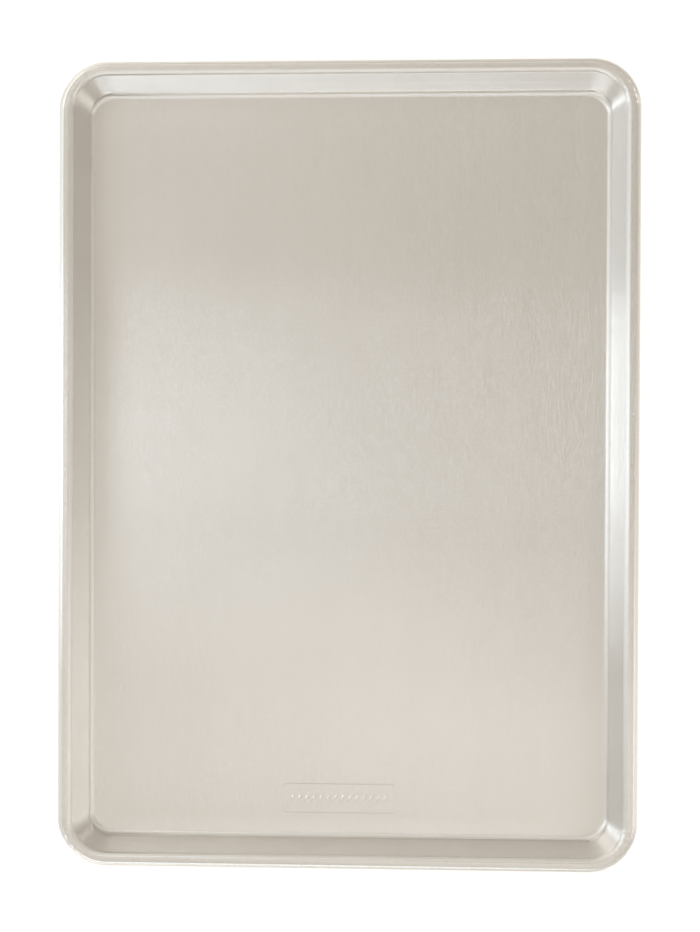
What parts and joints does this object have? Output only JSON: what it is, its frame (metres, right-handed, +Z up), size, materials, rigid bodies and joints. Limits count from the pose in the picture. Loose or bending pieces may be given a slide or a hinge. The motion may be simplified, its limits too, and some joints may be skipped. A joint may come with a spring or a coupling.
{
  "type": "half-size sheet pan",
  "caption": "Rectangular rimmed baking sheet in bare aluminium: flat floor, low leaning walls, round corners and a rim rolled over a steel wire.",
  "frame": {"origin": "middle of the footprint, on the surface that the pan stands on", "axes": "+Z up out of the pan's mouth, +Y along the long side, +X along the short side; the pan is alike both ways along X and Y but for the joint of its hidden wire, which is at the middle of the -Y side"},
  "size_m": [0.3264, 0.455, 0.0275],
  "materials": {
    "bare_aluminium": "mill finish, satin, with fine rolling lines along the length and light wear",
    "galvanised_wire": "galvanised, dull"
  },
  "bodies": {
    "root": {"pan_shell": "bare_aluminium", "rim_wire": "galvanised_wire"}
  },
  "joints": []
}
